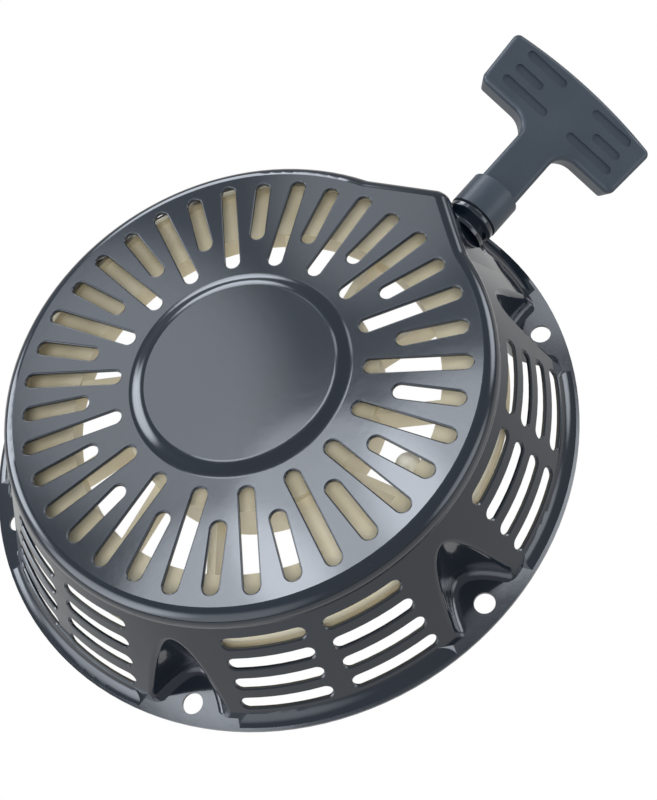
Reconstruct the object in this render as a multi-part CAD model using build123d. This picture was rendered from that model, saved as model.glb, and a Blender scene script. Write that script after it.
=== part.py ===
from build123d import *
import os
from math import acos, atan2, cos, degrees, hypot, pi, radians, sin, tan

# Recoil starter for a small engine, lying on its mounting flange.
# Origin: centre of the mounting face. +Z runs up the reel's axis and out of the slotted top,
# +X is the way the cord is pulled. All sizes are in millimetres.

os.makedirs("parts", exist_ok=True)

# ---- housing -------------------------------------------------------------------------------
sheet = 1.2
plate_z = 44.3
disc_rise = 1.3
disc_flat_r = 32.6
disc_foot_r = 38.4
rim_r = 85.0
rim_fillet = 4.8
crease_drop = 6.0
skirt_slope = 0.484
flange_r = 107.0
flange_roll = 3.0

mount_count = 6
mount_phase = 27.0
mount_r = 100.0
mount_hole_r = 3.5
pocket_apex_r = 87.8
pocket_breadth = 13.0
pocket_end_r = 116.0
pocket_floor_fillet = 3.0
pocket_lip_fillet = 2.5

slot_count = 36
slot_width = 5.2
slot_rounding = 0.5
long_slot_in_r = 41.8
long_slot_out_r = 77.1
short_slot_in_r = 52.6
short_slot_out_r = 76.3

window_rows = 4
window_top_z = 32.0
window_pitch = 9.0
window_height = 4.8
window_arc = 17.2
window_offset = 10.5
window_chamfer = 0.4

# ---- nose that carries the cord guide --------------------------------------------------------
guide_y = -16.5
guide_z = 25.25
nose_tip_x = 93.5
nose_flank_y = 20.0
nose_corner_y = -9.0
nose_low_y = -12.5
nose_waist = (85.8, -22.8)
nose_root = (76.3, -36.0)
nose_tangent_drop = 3.2
nose_foot_inset = 0.4
nose_foot_angles = (10.5, -5.0, -7.8, -15.8, -23.6)
nose_overlap_x = 60.0
nose_corner_r = 4.5
guide_barrel_r = 6.2
guide_lip_r = 9.2
guide_lip_width = 1.9
guide_lip_rounding = 0.6
guide_seat_width = 1.4
guide_neck_rise = 0.9
guide_neck_back = 3.6
guide_roll_back = 1.6
guide_gap = 0.5
liner_r = 4.9
liner_flare = 1.2
guide_bore_gap = 0.7
recess_r = 11.6
recess_seat_x = 90.6

# ---- post, reel and spring -------------------------------------------------------------------
running_fit = 0.05
side_gap = 0.3
post_flange_r = 30.0
post_flange_thickness = 2.0
post_stem_r = 11.0
spring_post_r = 10.0
journal_r = 7.0
hub_r = 44.5
hub_wall = 2.6
hub_top_z = 31.3
hub_floor_z = 18.0
hub_base_z = 12.0
groove_in_r = 67.3
groove_wall = 2.5
reel_r = 86.0
reel_flange = 1.4
reel_lip = 1.8
reel_lip_z = 32.0
groove_side_gap = 0.25
rib_count = 12
rib_phase = -4.0
rib_thickness = 2.8
rib_height = 11.0
rib_lean = 16.0
rib_drop = 0.8
web_angle = -108.0
web_span = 19.0
web_thickness = 2.0
bush_wall = 1.6
washer_thickness = 0.8
cover_thickness = 1.0
cover_seat = 1.2
spring_thickness = 0.8
spring_height = 10.6
spring_turns = 7
spring_tab_width = 1.4

# ---- cord --------------------------------------------------------------------------------------
cord_r = 2.4
coil_out_r = 76.0
bend_r = 8.0
bend_corner_x = 82.0
knot_r = 4.2
knot_angle = -79.0

# ---- grip --------------------------------------------------------------------------------------
grip_start_x = 98.6
collar_length = 12.2
collar_r = 9.4
stem_r = 8.2
grip_thickness = 12.0
bar_in_x = 137.0
bar_out_x = 163.6
bar_half = 33.0
bar_crown = 2.9
bar_end_taper = 1.6
bar_inner_rounding = 3.5
bar_outer_rounding = 3.0
stem_rounding = 6.5
grip_edge_rounding = 2.0
grip_draft = 12.0
grip_roll = 30.7
grip_groove_depth = 0.9
grip_groove_width = 3.4
knot_pocket_r = 4.5
knot_seat_x = 146.0

# ---- ratchet -----------------------------------------------------------------------------------
pawl_pivot_r = 26.0
pawl_count = 2
pawl_thickness = 3.0
pawl_pin_r = 3.0
pawl_reach = 20.0
pawl_eye_wall = 2.6
pawl_swing = 30.0
guide_plate_swing = 25.0
peg_r = 1.5
peg_x = 8.0
guide_plate_r = 33.5
guide_plate_thickness = 1.5
wing_width = 23.0
wing_angle = 61.5
sleeve_r = 5.0
bolt_shank_r = 3.0
bolt_head_height = 3.4
bolt_head_flats = 10.0

crease_z = plate_z - crease_drop
skirt_foot_r = rim_r + skirt_slope * crease_z
skirt_angle = degrees(atan2(skirt_slope, 1))
mount_pitch = 360 / mount_count
disc_z = plate_z + disc_rise
guide_bore_r = cord_r + guide_bore_gap
groove_width = 2 * (cord_r + groove_side_gap)
groove_top_z = guide_z + groove_width / 2
groove_base_z = guide_z - groove_width / 2


def skirt_r(z):
    return rim_r + skirt_slope * (crease_z - z)


def save(part, node):
    part.label = node
    export_step(part, f"parts/{node}.step")


def disc(radius, low, high, x=0, y=0):
    blank = Cylinder(radius, high - low, align=(Align.CENTER, Align.CENTER, Align.MIN))
    return Pos(x, y, low) * blank


def ring(outer, inner, low, high, x=0, y=0):
    return disc(outer, low, high, x, y) - disc(inner, low - 1, high + 1, x, y)


def along_cord(radius, start, end):
    rod = Cylinder(radius, end - start, align=(Align.CENTER, Align.CENTER, Align.MIN))
    return Pos(start, guide_y, guide_z) * Rot(0, 90, 0) * rod


def turned(points):
    return revolve(Plane.XZ * make_face(Polyline(*points, close=True)), Axis.Z)


# The top plate in plan: a round rim with a straight flank that runs out to the guide's nose.
def plan_points(inset):
    tip = nose_tip_x - inset
    return [
        (rim_r - inset - nose_tangent_drop, nose_flank_y),
        (tip, nose_corner_y - inset / 2),
        (tip, nose_low_y),
        (nose_waist[0] - inset, nose_waist[1]),
        (nose_root[0] - inset, nose_root[1]),
        (nose_overlap_x, nose_root[1] + 6),
        (nose_overlap_x, nose_flank_y - 10),
    ]


def foot_points(inset):
    foot = skirt_foot_r - nose_foot_inset - inset
    outer = [(foot * cos(radians(a)), foot * sin(radians(a))) for a in nose_foot_angles]
    return outer + [(nose_overlap_x + 10, nose_root[1] + 2), (nose_overlap_x + 10, nose_flank_y - 8)]


def nose_plan(inset):
    return make_face(Polyline(*plan_points(inset), close=True))


def cap(inset, top):
    plan = Circle(rim_r - inset) + nose_plan(inset)
    body = Pos(0, 0, crease_z) * extrude(plan, top - crease_z)
    corners = body.edges().filter_by(Axis.Z).filter_by(lambda e: e.center().X > 70)
    body = fillet(corners, nose_corner_r)
    edges = body.edges().group_by(Axis.Z)[-1]
    return fillet(edges, rim_fillet - inset)


def nose(inset):
    upper = Pos(0, 0, crease_z) * nose_plan(inset)
    lower = make_face(Polyline(*foot_points(inset), close=True))
    return loft([lower, upper], ruled=True)


def pocket_plan(inset):
    reach = pocket_end_r - pocket_apex_r
    half = (pocket_breadth * reach) ** 0.5 + inset
    apex = pocket_apex_r - inset
    curve = Bezier((apex + reach, half), (apex - reach, 0), (apex + reach, -half))
    return make_face(curve + Line((apex + reach, -half), (apex + reach, half)))


def pocket(inset, low):
    body = Pos(0, 0, low) * extrude(pocket_plan(inset), plate_z - low)
    if inset == 0:
        floor = body.edges().group_by(Axis.Z)[0].filter_by(GeomType.LINE, reverse=True)
        body = fillet(floor, pocket_floor_fillet)
    return body


def pockets(inset, low):
    angles = [mount_phase + mount_pitch * k for k in range(mount_count)]
    return [Rot(0, 0, a) * pocket(inset, low) for a in angles]


# The cone of the skirt with the mounting pockets pressed into it and their lips rounded.
def dented_cone(inset, low):
    wall = inset / cos(radians(skirt_angle))
    cone = turned([(0, low), (skirt_r(low) - wall, low), (rim_r - wall, crease_z), (0, crease_z)])
    cone = cone - pockets(inset, sheet if inset == 0 else low - 1)
    lips = cone.edges().filter_by(lambda e: e.bounding_box().size.Z > 15)
    lips = lips.filter_by(GeomType.LINE, reverse=True)
    return fillet(lips, pocket_lip_fillet - inset)


# The concave roll between skirt and flange: it fades out beside each pocket.
def foot_roll():
    foot = skirt_r(sheet)
    top = (skirt_r(sheet + flange_roll), sheet + flange_roll)
    middle = (foot + 0.5, sheet + 0.9)
    inside = foot - 2
    edge = ThreePointArc((foot + flange_roll, sheet), middle, top)
    rest = Polyline(
        top, (inside, top[1]), (inside, sheet / 2),
        (foot + flange_roll, sheet / 2), (foot + flange_roll, sheet))
    ring_form = revolve(Plane.XZ * make_face(edge + rest), Axis.Z)
    near = pocket_lip_fillet + 0.2
    low = pocket_plan(near)
    high = Pos(0, 0, flange_roll + sheet) * pocket_plan(near + 2 * flange_roll)
    fade = Pos(0, 0, sheet) * loft([low, high], ruled=True)
    deep = pocket(near, sheet / 4)
    angles = [mount_phase + mount_pitch * k for k in range(mount_count)]
    cutters = [Rot(0, 0, a) * cutter for a in angles for cutter in (fade, deep)]
    return ring_form - cutters


# The raised disc: its wall is an S of two arcs, level where it leaves the plate and at the top.
def disc_raise(inset):
    top = disc_z - inset
    foot = plate_z - inset
    middle = ((disc_foot_r + disc_flat_r) / 2, (foot + top) / 2)
    lower = TangentArc((disc_foot_r, foot), middle, tangent=(-1, 0))
    upper = TangentArc(middle, (disc_flat_r, top), tangent=lower % 1)
    wall = lower + upper
    rest = Polyline((disc_flat_r, top), (0, top), (0, foot - 2), (disc_foot_r, foot - 2), (disc_foot_r, foot))
    return revolve(Plane.XZ * make_face(wall + rest), Axis.Z)


def outer_form():
    skirt = dented_cone(0, 0) + disc(flange_r, 0, sheet) + foot_roll()
    whole = skirt + cap(0, plate_z) + nose(0) + disc_raise(0)
    return whole - along_cord(recess_r, recess_seat_x, 130)


def inner_form():
    whole = dented_cone(sheet, -1) + cap(sheet, plate_z - sheet) + nose(sheet / cos(radians(skirt_angle)))
    return whole + disc_raise(sheet) - along_cord(recess_r + sheet, recess_seat_x - sheet, 130)


def top_slot(inner, outer, angle):
    length = outer - inner - slot_width
    plan = SlotCenterToCenter(length, slot_width)
    cutter = extrude(plan, 4, both=True)
    return Rot(0, 0, angle) * Pos((inner + outer) / 2, 0, plate_z) * cutter


def top_slots():
    step = 360 / slot_count
    cutters = []
    for k in range(slot_count // 2):
        cutters.append(top_slot(long_slot_in_r, long_slot_out_r, mount_phase + 2 * k * step))
        cutters.append(top_slot(short_slot_in_r, short_slot_out_r, mount_phase + (2 * k + 1) * step))
    return cutters


# One vent: a slot that runs round the skirt, cut square to its slope, with round ends and an eased edge.
def window(row, angle):
    z = window_top_z - row * window_pitch * cos(radians(skirt_angle))
    r = skirt_r(z)
    half = window_arc / 2 - degrees((window_height / 2) / r)
    low = window_height / 2
    wide = low + 2 * window_chamfer
    band = make_face(Polyline(
        (-5, -low), (-window_chamfer, -low), (window_chamfer, -wide), (window_chamfer, wide),
        (-window_chamfer, low), (-5, low), close=True))
    band = Plane.XZ * (Pos(r, z) * Rot(0, 0, skirt_angle) * band)
    body = Rot(0, 0, angle - half) * revolve(band, Axis.Z, 2 * half)
    pin = Cylinder(low, 5, align=(Align.CENTER, Align.CENTER, Align.MAX))
    flare = Cone(low, wide, 2 * window_chamfer)
    ends = []
    for side in (-half, half):
        peg = Pos(r, 0, z) * Rot(0, 90 - skirt_angle, 0) * (pin + flare)
        ends.append(Rot(0, 0, angle + side) * peg)
    return body + ends


def windows():
    cutters = []
    for k in range(1, mount_count):
        middle = mount_phase - mount_pitch / 2 + mount_pitch * k
        for side in (-window_offset, window_offset):
            for row in range(window_rows):
                cutters.append(window(row, middle + side))
    return cutters


def make_case():
    shell = outer_form() - inner_form()
    shell = shell - top_slots()
    brims = shell.edges().filter_by(lambda e: abs(e.center().Z - plate_z) < 0.01)
    brims = brims.filter_by(lambda e: disc_foot_r + 1 < hypot(e.center().X, e.center().Y) < rim_r - rim_fillet - 1)
    shell = fillet(brims, slot_rounding)
    shell = shell - windows()
    holes = []
    for k in range(mount_count):
        hole = Pos(mount_r, 0, 0) * Cylinder(mount_hole_r, 6)
        holes.append(Rot(0, 0, mount_phase + mount_pitch * k) * hole)
    shell = shell - holes
    return shell - along_cord(guide_barrel_r, recess_seat_x - 6, recess_seat_x + 2)


# ---- centre post, fixed under the raised disc ---------------------------------------------------
post_top_z = disc_z - sheet
cover_top_z = hub_top_z - 0.3
cover_low_z = cover_top_z - cover_thickness
washer_low_z = hub_floor_z + running_fit
washer_high_z = washer_low_z + washer_thickness
shoulder_z = washer_high_z + running_fit
journal_end_z = hub_base_z - side_gap
post_slot = spring_tab_width + 2 * 0.2


def make_post():
    flange = disc(post_flange_r, post_top_z - post_flange_thickness, post_top_z)
    stem = disc(post_stem_r, cover_top_z + 0.5, post_top_z)
    core = disc(spring_post_r, shoulder_z, post_top_z)
    journal = disc(journal_r, journal_end_z, post_top_z)
    post = flange + stem + core + journal
    slot = Pos(spring_post_r, 0, shoulder_z) * Box(
        6, post_slot, cover_low_z - shoulder_z, align=(Align.CENTER, Align.CENTER, Align.MIN))
    thread = disc(bolt_shank_r, journal_end_z - 1, journal_end_z + 14)
    return post - slot - thread


# ---- cord guide: a rolled steel eyelet with a hard liner ------------------------------------------
guide_back_x = recess_seat_x - sheet - guide_roll_back
guide_front_x = grip_start_x - guide_gap


def turned_on_cord(points):
    profile = make_face(Polyline(*points, close=True))
    body = revolve(profile, Axis.X)
    return Pos(0, guide_y, guide_z) * body


def make_rope_guide():
    profile = make_face(Polyline(
        (guide_back_x, liner_r),
        (guide_back_x, guide_barrel_r),
        (recess_seat_x, guide_barrel_r),
        (recess_seat_x, guide_lip_r),
        (recess_seat_x + guide_seat_width, guide_lip_r),
        (guide_front_x - guide_neck_back, guide_barrel_r + guide_neck_rise),
        (guide_front_x - guide_lip_width, guide_lip_r),
        (guide_front_x, guide_lip_r),
        (guide_front_x, liner_r), close=True))
    rounded = profile.vertices().filter_by(lambda v: v.Y > guide_lip_r - 0.1 and v.X > recess_seat_x + 0.5)
    profile = fillet(rounded, guide_lip_rounding)
    return Pos(0, guide_y, guide_z) * revolve(profile, Axis.X)


def make_guide_liner():
    return turned_on_cord([
        (guide_back_x, guide_bore_r + liner_flare),
        (guide_back_x + liner_flare, guide_bore_r),
        (guide_front_x - liner_flare, guide_bore_r),
        (guide_front_x, guide_bore_r + liner_flare),
        (guide_front_x, liner_r),
        (guide_back_x, liner_r),
    ])


# ---- reel -----------------------------------------------------------------------------------------
boss_r = journal_r + running_fit + bush_wall
rib_top_z = groove_top_z + reel_flange - rib_drop
pin_angles = [90 + 360 / pawl_count * k for k in range(pawl_count)]


def rib():
    inner = (hub_r - 1.0, 0)
    reach = groove_in_r - groove_wall + 1.0
    lean = radians(rib_lean)
    span = -inner[0] * cos(lean) + (reach ** 2 - (inner[0] * sin(lean)) ** 2) ** 0.5
    bar = Box(span, rib_thickness, rib_height, align=(Align.MIN, Align.CENTER, Align.MAX))
    return Pos(inner[0], 0, rib_top_z) * Rot(0, 0, rib_lean) * bar


# One wide web between two ribs, level with their tops.
def wide_web():
    inner = hub_r - 1.0
    outer = groove_in_r - groove_wall + 1.0
    low = rib_top_z - web_thickness
    section = make_face(Polyline((inner, low), (outer, low), (outer, rib_top_z), (inner, rib_top_z), close=True))
    return Rot(0, 0, web_angle - web_span / 2) * revolve(Plane.XZ * section, Axis.Z, web_span)


def make_reel():
    outer_top = groove_top_z + reel_flange
    outer_base = groove_base_z - reel_flange
    drum = turned([
        (groove_in_r - groove_wall, outer_base),
        (reel_r, outer_base),
        (reel_r, groove_base_z),
        (groove_in_r, groove_base_z),
        (groove_in_r, groove_top_z),
        (reel_r, groove_top_z),
        (reel_r, reel_lip_z),
        (reel_r - reel_lip, reel_lip_z),
        (reel_r - reel_lip, outer_top),
        (groove_in_r - groove_wall, outer_top),
    ])
    hub = turned([
        (boss_r, hub_base_z),
        (hub_r, hub_base_z),
        (hub_r, hub_top_z),
        (hub_r - hub_wall + cover_seat, hub_top_z),
        (hub_r - hub_wall + cover_seat, cover_low_z),
        (hub_r - hub_wall, cover_low_z),
        (hub_r - hub_wall, hub_floor_z),
        (boss_r, hub_floor_z),
    ])
    step = 360 / rib_count
    ribs = [Rot(0, 0, rib_phase + step * k) * rib() for k in range(rib_count)]
    reel = hub + drum + ribs + wide_web()
    notch = Pos(hub_r - hub_wall, 0, hub_floor_z) * Box(
        3.0, post_slot, cover_low_z - hub_floor_z, align=(Align.CENTER, Align.CENTER, Align.MIN))
    knot_room = Rot(0, 0, knot_angle) * Pos(groove_in_r, 0, guide_z) * Rot(0, 90, 0) * Cylinder(cord_r + 0.3, 8)
    reel = reel - notch - knot_room
    for angle in pin_angles:
        reel = reel - Rot(0, 0, angle) * disc(pawl_pin_r, hub_base_z - 1, pin_top_z, pawl_pivot_r, 0)
    return reel


pin_top_z = hub_floor_z - 1.5
pawl_high_z = hub_base_z - 2.2
pawl_low_z = pawl_high_z - pawl_thickness
plate_high_z = pawl_low_z - side_gap
plate_low_z = plate_high_z - guide_plate_thickness


def make_reel_bush():
    return ring(boss_r, journal_r + running_fit, hub_base_z, hub_floor_z)


def make_spring_cover():
    return ring(hub_r - hub_wall + cover_seat, post_stem_r + side_gap, cover_low_z, cover_top_z)


def make_thrust_washer():
    return ring(spring_post_r + 1.5, journal_r + running_fit, washer_low_z, washer_high_z)


# ---- recoil spring: a flat spiral hooked to the post and to the hub's wall ---------------------------
spring_in_r = spring_post_r + 2.4
spring_out_r = hub_r - hub_wall - 1.4


def spiral_point(turn, offset):
    radius = spring_in_r + (spring_out_r - spring_in_r) * turn / spring_turns + offset
    angle = 2 * pi * turn
    return (radius * cos(angle), radius * sin(angle))


def make_recoil_spring():
    steps = 16 * spring_turns
    turns = [spring_turns * k / steps for k in range(steps + 1)]
    half = spring_thickness / 2
    outside = Spline(*[spiral_point(t, half) for t in turns])
    inside = Spline(*[spiral_point(t, -half) for t in reversed(turns)])
    start = Line(inside @ 1, outside @ 0)
    end = Line(outside @ 1, inside @ 0)
    strip = make_face(outside + end + inside + start)
    low = washer_high_z + 0.2
    body = Pos(0, 0, low) * extrude(strip, spring_height)
    tab_length = spring_in_r - spring_post_r + 2.6
    tab = Box(tab_length, spring_thickness, spring_height, align=(Align.MAX, Align.CENTER, Align.MIN))
    inner_tab = Pos(spring_in_r, 0, low) * tab
    hook = Box(2.6, spring_thickness, spring_height, align=(Align.MIN, Align.CENTER, Align.MIN))
    outer_tab = Pos(spring_out_r, 0, low) * hook
    return body + inner_tab + outer_tab


# ---- cord -----------------------------------------------------------------------------------------
cord_line_r = coil_out_r + cord_r + 0.3


def lead_points():
    corner = (bend_corner_x, guide_y)
    distance = hypot(*corner)
    angle = atan2(corner[1], corner[0]) + acos(cord_line_r / distance)
    return (cord_line_r * cos(angle), cord_line_r * sin(angle)), corner


lead_start, lead_corner = lead_points()
lead_run = (lead_corner[0] - lead_start[0], lead_corner[1] - lead_start[1])
lead_length = hypot(*lead_run)
lead_way = (lead_run[0] / lead_length, lead_run[1] / lead_length)
bend_turn = acos(lead_way[0])
bend_reach = bend_r * tan(bend_turn / 2)
cord_join_x = bend_corner_x + bend_reach


def make_rope_lead():
    bend_start = (lead_corner[0] - lead_way[0] * bend_reach, lead_corner[1] - lead_way[1] * bend_reach)
    run = Line(lead_start, bend_start)
    bend = TangentArc(bend_start, (cord_join_x, guide_y), tangent=lead_way)
    path = Pos(0, 0, guide_z) * (run + bend)
    section = Plane(origin=path @ 0, z_dir=path % 0) * Circle(cord_r)
    return sweep(section, path)


def make_pull_rope():
    return along_cord(cord_r, cord_join_x, knot_seat_x + 1.2)


def make_rope_coil():
    return ring(coil_out_r, groove_in_r, guide_z - cord_r, guide_z + cord_r)


# The knot behind the groove's wall, with the short stretch of cord that reaches it.
def make_reel_knot():
    centre = groove_in_r - groove_wall - knot_r - 0.2
    ball = Pos(centre, 0, guide_z) * Sphere(knot_r)
    tail = Pos(centre, 0, guide_z) * Rot(0, 90, 0) * Cylinder(
        cord_r, groove_in_r - centre - 0.1, align=(Align.CENTER, Align.CENTER, Align.MIN))
    return Rot(0, 0, knot_angle) * (ball + tail)


def make_grip_knot():
    centre = knot_seat_x + 1.2 + knot_r
    ball = Pos(centre, guide_y, guide_z) * Sphere(knot_r)
    return ball & along_cord(knot_r + 1, knot_seat_x + 1.2, centre + knot_r)


def make_knot_washer():
    return along_cord(knot_pocket_r - 0.2, knot_seat_x, knot_seat_x + 1.2) - along_cord(
        cord_r, knot_seat_x - 1, knot_seat_x + 3)


# ---- grip -----------------------------------------------------------------------------------------
def grip_outline():
    half = bar_half
    crown = ThreePointArc((bar_out_x - bar_crown, half), (bar_out_x, 0), (bar_out_x - bar_crown, -half))
    rest = Polyline(
        (bar_out_x - bar_crown, -half),
        (bar_in_x, -half + bar_end_taper),
        (bar_in_x, -stem_r),
        (grip_start_x + collar_length - 2, -stem_r),
        (grip_start_x + collar_length - 2, stem_r),
        (bar_in_x, stem_r),
        (bar_in_x, half - bar_end_taper),
        (bar_out_x - bar_crown, half))
    return make_face(crown + rest)


def grip_grooves():
    middle = (bar_in_x + bar_out_x) / 2
    rows = [(middle + 6.7, 6.6, 24.6), (middle - 0.3, 12.3, 24.6), (middle - 6.8, 5.0, 25.5)]
    cutters = []
    for x, near, far in rows:
        for side in (-1, 1):
            for face in (-1, 1):
                plan = SlotCenterToCenter(far - near - grip_groove_width, grip_groove_width)
                groove = extrude(plan, grip_groove_depth, both=True)
                groove = Pos(x, side * (near + far) / 2, face * grip_thickness / 2) * Rot(0, 0, 90) * groove
                cutters.append(groove)
    return cutters


def make_grip():
    plan = grip_outline()
    junction = plan.vertices().filter_by(lambda v: abs(v.X - bar_in_x) < 0.1 and abs(v.Y) < stem_r + 0.1)
    plan = fillet(junction, stem_rounding)
    inner_ends = plan.vertices().filter_by(lambda v: abs(v.X - bar_in_x) < 0.1 and abs(v.Y) > bar_half - 3)
    plan = fillet(inner_ends, bar_inner_rounding)
    outer_ends = plan.vertices().filter_by(lambda v: abs(v.Y) > bar_half - 0.1)
    plan = fillet(outer_ends, bar_outer_rounding)
    body = Pos(0, 0, grip_thickness / 2) * extrude(plan, grip_thickness, dir=(0, 0, -1), taper=grip_draft)
    rims = body.faces().filter_by(Axis.Z).edges().filter_by(lambda e: e.center().X > grip_start_x + collar_length)
    body = fillet(rims, grip_edge_rounding)
    collar = Pos(grip_start_x, 0, 0) * Rot(0, 90, 0) * Cylinder(
        collar_r, collar_length, align=(Align.CENTER, Align.CENTER, Align.MIN))
    body = body + collar
    body = body - grip_grooves()
    bore = Pos(grip_start_x - 1, 0, 0) * Rot(0, 90, 0) * Cylinder(
        cord_r + 0.3, 90, align=(Align.CENTER, Align.CENTER, Align.MIN))
    room = Pos(knot_seat_x, 0, 0) * Rot(0, 90, 0) * Cylinder(
        knot_pocket_r, 40, align=(Align.CENTER, Align.CENTER, Align.MIN))
    body = body - bore - room
    return Pos(0, guide_y, guide_z) * Rot(grip_roll, 0, 0) * body


# ---- ratchet ----------------------------------------------------------------------------------------
pawl_eye_r = pawl_pin_r + pawl_eye_wall
pin_low_z = pawl_low_z - 0.1


def pawl_plate():
    eye = Circle(pawl_eye_r)
    arm = make_face(Polyline(
        (0, pawl_eye_r - 0.4), (pawl_reach - 2, 3.0), (pawl_reach + 1.5, -1.0),
        (pawl_reach - 1, -4.6), (4, -pawl_eye_r + 0.6), (0, -3), close=True))
    return eye + arm - Circle(pawl_pin_r + running_fit)


def pawl_at(angle):
    plate = Pos(0, 0, pawl_low_z) * extrude(pawl_plate(), pawl_thickness)
    peg = disc(peg_r, plate_low_z - 0.4, pawl_low_z, peg_x, -1.0)
    return Rot(0, 0, angle - 90) * Pos(0, pawl_pivot_r, 0) * (plate + peg)


def make_pawl_pins():
    pins = [Rot(0, 0, a) * disc(pawl_pin_r, pin_low_z, pin_top_z, pawl_pivot_r, 0) for a in pin_angles]
    return Compound(children=pins)


def pawl_spring_at(angle):
    wire_r = 0.6
    middle = (hub_base_z + pawl_high_z) / 2
    coil = Pos(0, 0, middle) * Torus(pawl_pin_r + 1.2, wire_r)
    leg = Pos(pawl_pin_r + 1.2, 0, middle) * Rot(-90, 0, 0) * Cylinder(
        wire_r, 9, align=(Align.CENTER, Align.CENTER, Align.MIN))
    return Rot(0, 0, angle - 90) * Pos(0, pawl_pivot_r, 0) * (coil + leg)


def turn_point(point, centre, angle):
    a = radians(angle)
    x, y = point[0] - centre[0], point[1] - centre[1]
    return (centre[0] + x * cos(a) - y * sin(a), centre[1] + x * sin(a) + y * cos(a))


# The cam slot follows the pawl's peg, as the guide plate sees it, from folded to swung out.
def cam_slot(angle):
    pivot = (0, pawl_pivot_r)
    folded = (peg_x, pawl_pivot_r - 1.0)
    swung = turn_point(turn_point(folded, pivot, pawl_swing), (0, 0), -guide_plate_swing)
    run = (swung[0] - folded[0], swung[1] - folded[1])
    length = hypot(*run)
    middle = ((folded[0] + swung[0]) / 2, (folded[1] + swung[1]) / 2 + 0.3)
    plan = SlotCenterToCenter(length, 2 * peg_r + 2.0)
    cutter = extrude(plan, 6, both=True)
    placed = Pos(middle[0], middle[1], plate_low_z) * Rot(0, 0, degrees(atan2(run[1], run[0]))) * cutter
    return Rot(0, 0, angle - 90) * placed


def make_ratchet_guide():
    wings = Circle(guide_plate_r) & Rot(0, 0, wing_angle) * Rectangle(2 * guide_plate_r, wing_width)
    plan = wings + Circle(wing_width * 0.6) - Circle(sleeve_r + running_fit)
    plate = Pos(0, 0, plate_low_z) * extrude(plan, guide_plate_thickness)
    collar = ring(sleeve_r + 3.0, sleeve_r + running_fit, plate_low_z, plate_high_z + 1.5)
    return plate + collar - [cam_slot(a) for a in pin_angles]


retainer_high_z = journal_end_z
retainer_low_z = retainer_high_z - 1.2
sleeve_low_z = plate_low_z - 0.15


def make_retainer_washer():
    return ring(boss_r + 3.0, bolt_shank_r + 0.2, retainer_low_z, retainer_high_z)


def make_guide_sleeve():
    return ring(sleeve_r, bolt_shank_r + 0.1, sleeve_low_z, retainer_low_z)


def make_friction_spring():
    wire_r = 0.5
    low = plate_high_z + 1.5 + wire_r + 0.02
    rise = retainer_low_z - low - wire_r - 0.02
    path = Pos(0, 0, low) * Helix(rise, rise, sleeve_r + 1.6)
    section = Plane(origin=path @ 0, z_dir=path % 0) * Circle(wire_r)
    return sweep(section, path, is_frenet=True)


def make_centre_bolt():
    head_high = sleeve_low_z
    head = Pos(0, 0, head_high - bolt_head_height) * extrude(
        RegularPolygon(bolt_head_flats / 2, 6, major_radius=False), bolt_head_height)
    flange = disc(bolt_head_flats / 2 + 1.8, head_high - 1.0, head_high)
    return head + flange + disc(bolt_shank_r, head_high, journal_end_z + 12)


save(make_case(), "case")
save(make_post(), "centre_post")
save(make_rope_guide(), "rope_guide")
save(make_guide_liner(), "guide_liner")
save(make_reel(), "reel")
save(make_reel_bush(), "reel_bush")
save(make_spring_cover(), "spring_cover")
save(make_thrust_washer(), "thrust_washer")
save(make_recoil_spring(), "recoil_spring")
save(make_rope_lead(), "rope_lead")
save(make_pull_rope(), "pull_rope")
save(make_rope_coil(), "rope_coil")
save(make_reel_knot(), "reel_knot")
save(make_grip_knot(), "grip_knot")
save(make_knot_washer(), "knot_washer")
save(make_grip(), "grip")
save(make_pawl_pins(), "pawl_pins")
for number, angle in enumerate(pin_angles, 1):
    save(pawl_at(angle), f"pawl_{number}")
    save(pawl_spring_at(angle), f"pawl_spring_{number}")
save(make_ratchet_guide(), "ratchet_guide")
save(make_retainer_washer(), "retainer_washer")
save(make_guide_sleeve(), "guide_sleeve")
save(make_friction_spring(), "friction_spring")
save(make_centre_bolt(), "centre_bolt")
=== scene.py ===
from math import cos, pi, radians, sin

import bmesh
import bpy
from mathutils import Matrix, Vector


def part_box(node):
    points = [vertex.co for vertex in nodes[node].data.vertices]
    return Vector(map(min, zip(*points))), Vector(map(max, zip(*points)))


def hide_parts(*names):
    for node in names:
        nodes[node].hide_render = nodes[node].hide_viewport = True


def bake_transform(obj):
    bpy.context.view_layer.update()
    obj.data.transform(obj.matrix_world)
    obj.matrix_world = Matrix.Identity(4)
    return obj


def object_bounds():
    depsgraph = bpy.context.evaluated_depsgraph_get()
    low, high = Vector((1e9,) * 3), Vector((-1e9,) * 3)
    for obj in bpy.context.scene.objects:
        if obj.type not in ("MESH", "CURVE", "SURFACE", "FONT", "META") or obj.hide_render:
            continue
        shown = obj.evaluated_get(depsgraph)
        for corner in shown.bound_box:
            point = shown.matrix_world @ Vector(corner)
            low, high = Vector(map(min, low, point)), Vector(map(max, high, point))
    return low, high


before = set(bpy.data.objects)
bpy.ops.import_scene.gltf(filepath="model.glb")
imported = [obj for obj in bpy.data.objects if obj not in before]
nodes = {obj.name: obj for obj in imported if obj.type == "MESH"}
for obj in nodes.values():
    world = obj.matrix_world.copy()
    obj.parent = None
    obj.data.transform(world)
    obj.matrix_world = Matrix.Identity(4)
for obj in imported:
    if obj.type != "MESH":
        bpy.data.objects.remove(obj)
cadBox = [list(corner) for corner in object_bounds()]
print("recoil starter: CAD frame loaded,", len(nodes), "nodes")

scene = bpy.context.scene
scene.view_settings.view_transform = "Standard"  # paint colours come out as they are given


def hexColour(text):  # sRGB hex to linear, with alpha
    channels = [int(text[i:i + 2], 16) / 255 for i in (1, 3, 5)]
    linear = [c / 12.92 if c <= 0.04045 else ((c + 0.055) / 1.055) ** 2.4 for c in channels]
    return (*linear, 1.0)


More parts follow.
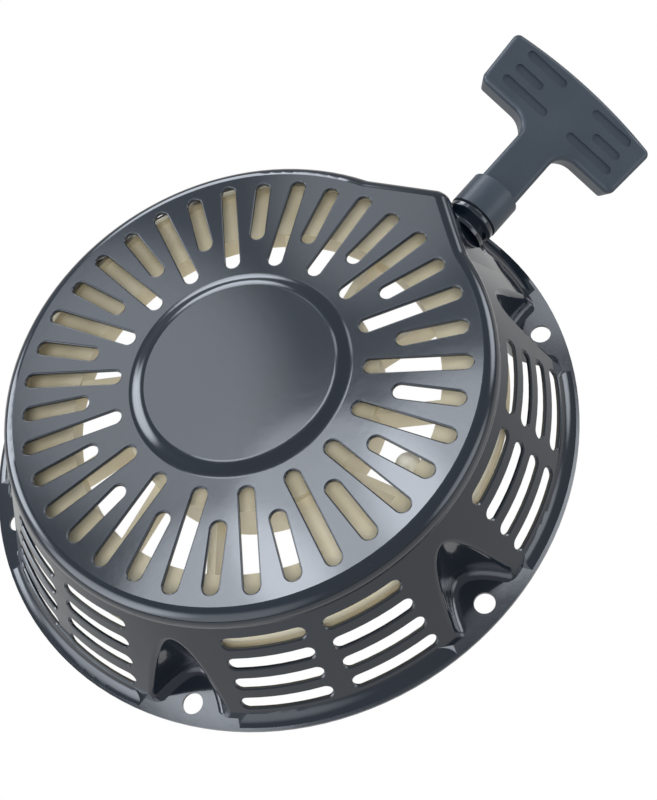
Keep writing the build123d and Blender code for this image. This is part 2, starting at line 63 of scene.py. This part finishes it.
def addNode(tree, kind, settings=None, inputs=None, links=None):
    node = tree.nodes.new(kind)
    for name, value in (settings or {}).items():
        setattr(node, name, value)
    for name, value in (inputs or {}).items():
        node.inputs[name].default_value = value
    for name, source in (links or {}).items():
        tree.links.new(source, node.inputs[name])
    return node


def startMaterial(name):
    material = bpy.data.materials.new(name)
    material.use_nodes = True
    tree = material.node_tree
    return material, tree, tree.nodes["Principled BSDF"]


def objectNoise(tree, scale, detail):  # scale is in waves per metre, in object coordinates
    place = addNode(tree, "ShaderNodeTexCoord")
    noise = addNode(
        tree, "ShaderNodeTexNoise", inputs={"Scale": scale, "Detail": detail},
        links={"Vector": place.outputs["Object"]},
    )
    return noise.outputs["Fac"]


def colourBetween(tree, surface, cloud, low, high):  # (position, hex) at the cloud's low and high end
    node = addNode(tree, "ShaderNodeValToRGB", links={"Fac": cloud})
    for element, (at, colour) in zip(node.color_ramp.elements, (low, high)):
        element.position = at
        element.color = hexColour(colour)
    tree.links.new(node.outputs["Color"], surface.inputs["Base Color"])


def bumpFrom(tree, surface, height, strength, distance):  # distance in metres
    bump = addNode(
        tree, "ShaderNodeBump", inputs={"Strength": strength, "Distance": distance}, links={"Height": height},
    )
    tree.links.new(bump.outputs["Normal"], surface.inputs["Normal"])


def setSockets(surface, values):
    for name, value in values.items():
        surface.inputs[name].default_value = value


view = {
    "eye": (-0.0734, -0.2136, 0.3735),
    "right": (0.6485, -0.7238, -0.2358),
    "up": (0.7302, 0.504, 0.4613),
    "lens": 54.67,
    "sensor": 36,
    "nearest": 0.01,
}


def placeCamera():
    camera = bpy.data.objects.new("camera", bpy.data.cameras.new("camera"))
    scene.collection.objects.link(camera)
    right = Vector(view["right"]).normalized()
    back = right.cross(Vector(view["up"])).normalized()
    up = back.cross(right)
    turn = Matrix((right, up, back)).transposed().to_4x4()
    camera.matrix_world = Matrix.Translation(view["eye"]) @ turn
    camera.data.lens = view["lens"]
    camera.data.sensor_width = view["sensor"]
    camera.data.clip_start = view["nearest"]
    scene.camera = camera


floorSheet = {
    "half": 6,
    "under": 0.0005,  # how far it lies below the object
    "glow": 1.0,
    "edgeGlow": 0.22,  # what is left of the glow far from the object
    "fadeFrom": 0.31,
    "fadeTo": 0.62,
    "inGloss": 0.5,  # share of the glow that the paint mirrors
}


def layFloor():  # lit white acrylic sheet, so no shadow is left on it and the gaps show white
    form = bmesh.new()
    bmesh.ops.create_grid(form, x_segments=1, y_segments=1, size=floorSheet["half"])
    mesh = bpy.data.meshes.new("floor")
    form.to_mesh(mesh)
    form.free()
    floor = bpy.data.objects.new("floor", mesh)
    floor.location.z = cadBox[0][2] - floorSheet["under"]
    scene.collection.objects.link(floor)
    material, tree, surface = startMaterial("lit_white_acrylic")
    setSockets(surface, {
        "Base Color": (0, 0, 0, 1),
        "Specular IOR Level": 0,
        "Emission Color": (1, 1, 1, 1),
    })
    place = addNode(tree, "ShaderNodeTexCoord")
    away = addNode(tree, "ShaderNodeVectorMath", {"operation": "LENGTH"}, links={0: place.outputs["Object"]})
    fade = {
        "From Min": floorSheet["fadeFrom"], "From Max": floorSheet["fadeTo"],
        "To Min": floorSheet["glow"], "To Max": floorSheet["edgeGlow"],
    }
    glow = addNode(
        tree, "ShaderNodeMapRange", {"interpolation_type": "SMOOTHSTEP"}, fade,
        {"Value": away.outputs["Value"]},
    )
    ray = addNode(tree, "ShaderNodeLightPath")
    dim = addNode(
        tree, "ShaderNodeMapRange", inputs={"To Min": 1.0, "To Max": floorSheet["inGloss"]},
        links={"Value": ray.outputs["Is Glossy Ray"]},
    )
    both = addNode(
        tree, "ShaderNodeMath", {"operation": "MULTIPLY"},
        links={0: glow.outputs["Result"], 1: dim.outputs["Result"]},
    )
    tree.links.new(both.outputs["Value"], surface.inputs["Emission Strength"])
    mesh.materials.append(material)


lights = {
    "horizon": 0.34,  # brightness of the whole dome
    "tint": "#eef5ff",
    "lamps": [  # place, width, watts; broad lamps that light the inside and leave no spot on the gloss
        ((-0.2, -0.5, 0.95), 0.3, 6.5),
        ((-0.7, 0.5, 0.9), 0.7, 3.0),
    ],
    "softboxes": [  # azimuth, elevation, full inside this angle, gone outside this one, brightness
        (54, 64.6, 4.0, 6.2, 3.9),
        (70, 64.2, 4.4, 6.0, 3.6),
        (86, 64.6, 4.0, 6.0, 4.2),
        (42, 56.5, 1.5, 4, 2.5),
        (78, 53.5, 4, 8, 1.7),
        (56, 51, 2, 6, 1.3),
        (62, 30, 8, 15, 4.5),
        (112, 28, 10, 20, 4.5),
        (160, 24, 12, 30, 2.2),
        (-165, 22, 15, 40, 1.0),
        (-60, 12, 6, 24, 1.6),
        (-12, 20, 6, 20, 3.2),
    ],
}


def softboxPatch(tree, place, azimuth, elevation, inner, outer, bright):
    turn, rise = radians(azimuth), radians(elevation)
    aim = (cos(turn) * cos(rise), sin(turn) * cos(rise), sin(rise))
    facing = addNode(tree, "ShaderNodeVectorMath", {"operation": "DOT_PRODUCT"}, {1: aim}, {0: place})
    edges = {"From Min": cos(radians(outer)), "From Max": cos(radians(inner)), "To Max": bright}
    patch = addNode(
        tree, "ShaderNodeMapRange", {"interpolation_type": "SMOOTHSTEP"}, edges,
        {"Value": facing.outputs["Value"]},
    )
    return patch.outputs["Result"]


def setLights():  # softboxes are soft round patches of the sky dome, so gloss shows them without edges
    world = bpy.data.worlds.new("studio")
    scene.world = world
    world.use_nodes = True
    tree = world.node_tree
    back = tree.nodes["Background"]
    back.inputs["Color"].default_value = hexColour(lights["tint"])
    place = addNode(tree, "ShaderNodeTexCoord").outputs["Generated"]
    total = addNode(tree, "ShaderNodeValue")
    total.outputs["Value"].default_value = lights["horizon"]
    for softbox in lights["softboxes"]:
        patch = softboxPatch(tree, place, *softbox)
        links = {0: total.outputs["Value"], 1: patch}
        total = addNode(tree, "ShaderNodeMath", {"operation": "ADD"}, links=links)
    tree.links.new(total.outputs["Value"], back.inputs["Strength"])
    for number, (spot, width, watts) in enumerate(lights["lamps"]):
        data = bpy.data.lights.new(f"lamp{number}", "AREA")
        data.size = width
        data.energy = watts
        lamp = bpy.data.objects.new(f"lamp{number}", data)
        lamp.location = spot
        lamp.rotation_euler = (-Vector(spot)).to_track_quat("-Z", "Y").to_euler()
        lamp.visible_glossy = False
        scene.collection.objects.link(lamp)


placeCamera()
setLights()
layFloor()
print("camera, lights and floor set")


# Baked gloss enamel on pressed steel: dark blue-grey, mirror-like with a faint orange peel.
def makeEnamel():
    material, tree, surface = startMaterial("baked_enamel_blue_grey")
    colourBetween(tree, surface, objectNoise(tree, 14.0, 2.0), (0.3, "#0e151d"), (0.7, "#121a23"))
    bumpFrom(tree, surface, objectNoise(tree, 260.0, 2.0), 0.05, 0.0004)
    setSockets(surface, {"Roughness": 0.14, "IOR": 1.55, "Coat Weight": 1.0, "Coat Roughness": 0.03})
    return material


# Natural nylon, moulded: cream, slightly waxy, with faint flow marks.
def makeNylon():
    material, tree, surface = startMaterial("moulded_nylon_cream")
    cloud = objectNoise(tree, 45.0, 4.0)
    colourBetween(tree, surface, cloud, (0.25, "#cbbf9f"), (0.75, "#ddd4ba"))
    bumpFrom(tree, surface, cloud, 0.1, 0.0005)
    setSockets(surface, {
        "Roughness": 0.42,
        "IOR": 1.53,
        "Subsurface Weight": 0.15,
        "Subsurface Radius": (1.0, 0.8, 0.5),
        "Subsurface Scale": 0.002,
    })
    return material


# Moulded engineering plastic: satin, with a fine spark-eroded grain. Polypropylene for the grip
# and acetal for the guide's liner differ in colour and roughness.
def makePlastic(name, dark, light, roughness):
    material, tree, surface = startMaterial(name)
    colourBetween(tree, surface, objectNoise(tree, 60.0, 3.0), (0.3, dark), (0.7, light))
    bumpFrom(tree, surface, objectNoise(tree, 1800.0, 2.0), 0.15, 0.0002)
    setSockets(surface, {"Roughness": roughness, "IOR": 1.49})
    return material


# Bare metal: steels in several finishes, and sintered bronze. The colour and roughness say which.
def makeMetal(name, dark, light, roughness):
    material, tree, surface = startMaterial(name)
    colourBetween(tree, surface, objectNoise(tree, 120.0, 4.0), (0.3, dark), (0.7, light))
    spread = {"To Min": roughness - 0.06, "To Max": roughness + 0.08}
    rough = addNode(
        tree, "ShaderNodeMapRange", inputs=spread, links={"Value": objectNoise(tree, 900.0, 3.0)},
    )
    tree.links.new(rough.outputs["Result"], surface.inputs["Roughness"])
    surface.inputs["Metallic"].default_value = 1.0
    return material


# Twisted nylon yarn: ivory, silky, with the fine lines of its fibres. The strands are in the mesh.
def makeCordNylon():
    material, tree, surface = startMaterial("twisted_nylon_ivory")
    colourBetween(tree, surface, objectNoise(tree, 300.0, 3.0), (0.3, "#dcd6c2"), (0.7, "#f2eee0"))
    bumpFrom(tree, surface, objectNoise(tree, 1600.0, 2.0), 0.4, 0.0003)  # yarn 0.6 mm thick
    setSockets(surface, {
        "Roughness": 0.5,
        "Sheen Weight": 0.3,
        "Subsurface Weight": 0.2,
        "Subsurface Radius": (1.0, 0.9, 0.7),
        "Subsurface Scale": 0.002,
    })
    return material


enamel = makeEnamel()
nylon = makeNylon()
gripPlastic = makePlastic("moulded_polypropylene_slate", "#343b43", "#3b424a", 0.34)
linerPlastic = makePlastic("moulded_acetal_black", "#15171a", "#1c1f22", 0.3)
springSteel = makeMetal("blued_spring_steel", "#4a4c50", "#5c5e62", 0.3)
zincSteel = makeMetal("zinc_plated_steel", "#9ea2a6", "#b9bcbf", 0.28)
hardSteel = makeMetal("hardened_steel", "#6b6d70", "#808285", 0.34)
bronze = makeMetal("sintered_bronze", "#8a6a42", "#a07d50", 0.45)
cordNylon = makeCordNylon()

finishes = {
    "case": enamel, "centre_post": zincSteel, "rope_guide": enamel, "guide_liner": linerPlastic,
    "reel": nylon, "reel_bush": bronze, "spring_cover": nylon, "thrust_washer": zincSteel,
    "recoil_spring": springSteel, "rope_lead": cordNylon, "pull_rope": cordNylon, "rope_coil": cordNylon,
    "reel_knot": cordNylon, "grip_knot": cordNylon, "knot_washer": zincSteel, "grip": gripPlastic,
    "pawl_pins": hardSteel, "pawl_1": hardSteel, "pawl_2": hardSteel, "pawl_spring_1": springSteel,
    "pawl_spring_2": springSteel, "ratchet_guide": zincSteel, "retainer_washer": zincSteel,
    "guide_sleeve": hardSteel, "friction_spring": springSteel, "centre_bolt": zincSteel,
}
for name, material in finishes.items():
    nodes[name].data.materials.clear()
    nodes[name].data.materials.append(material)
print("materials given to", len(finishes), "CAD nodes")


# the cord is three twisted strands
cord = {
    "strands": 3,
    "strandShare": 0.5,  # radius of one strand over the cord's
    "lay": 0.0145,  # length of one full twist
    "sides": 14,
    "steps": 14,  # rings in one twist
    "mergeUnder": 1e-7,
}


def strandSection(form, centre, forward, radius):  # one round face for each strand, set round the cord's axis
    geometry = []
    forward = forward.normalized()
    side = forward.cross(Vector((0, 0, 1))).normalized()
    above = side.cross(forward)
    small = radius * cord["strandShare"]
    for number in range(cord["strands"]):
        turn = 2 * pi * number / cord["strands"]
        middle = centre + (side * cos(turn) + above * sin(turn)) * (radius - small)
        facing = Matrix((side, above, -forward)).transposed().to_4x4()
        made = bmesh.ops.create_circle(
            form, cap_ends=True, segments=cord["sides"], radius=small,
            matrix=Matrix.Translation(middle) @ facing,
        )
        geometry += made["verts"]
    faces = {face for vertex in geometry for face in vertex.link_faces}
    edges = {edge for vertex in geometry for edge in vertex.link_edges}
    return geometry + list(edges) + list(faces)


def makePullRope():
    low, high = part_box("pull_rope")
    radius = (high.z - low.z) / 2
    centre = Vector((low.x, (low.y + high.y) / 2, (low.z + high.z) / 2))
    length = high.x - low.x
    turns = length / cord["lay"]
    form = bmesh.new()
    section = strandSection(form, centre, Vector((1, 0, 0)), radius)
    steps = int(turns * cord["steps"])
    bmesh.ops.spin(
        form, geom=section, cent=centre, axis=(1, 0, 0), dvec=(length / steps, 0, 0),
        angle=2 * pi * turns, steps=steps, use_duplicate=False,
    )
    bmesh.ops.remove_doubles(form, verts=form.verts, dist=cord["mergeUnder"])
    bmesh.ops.recalc_face_normals(form, faces=form.faces)
    mesh = bpy.data.meshes.new("pullRopeStrands")
    form.to_mesh(mesh)
    form.free()
    rope = bpy.data.objects.new("pull_rope_strands", mesh)
    scene.collection.objects.link(rope)
    mesh.polygons.foreach_set("use_smooth", [True] * len(mesh.polygons))
    mesh.materials.append(cordNylon)
    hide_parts("pull_rope")
    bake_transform(rope)


makePullRope()
print("pull rope twisted")
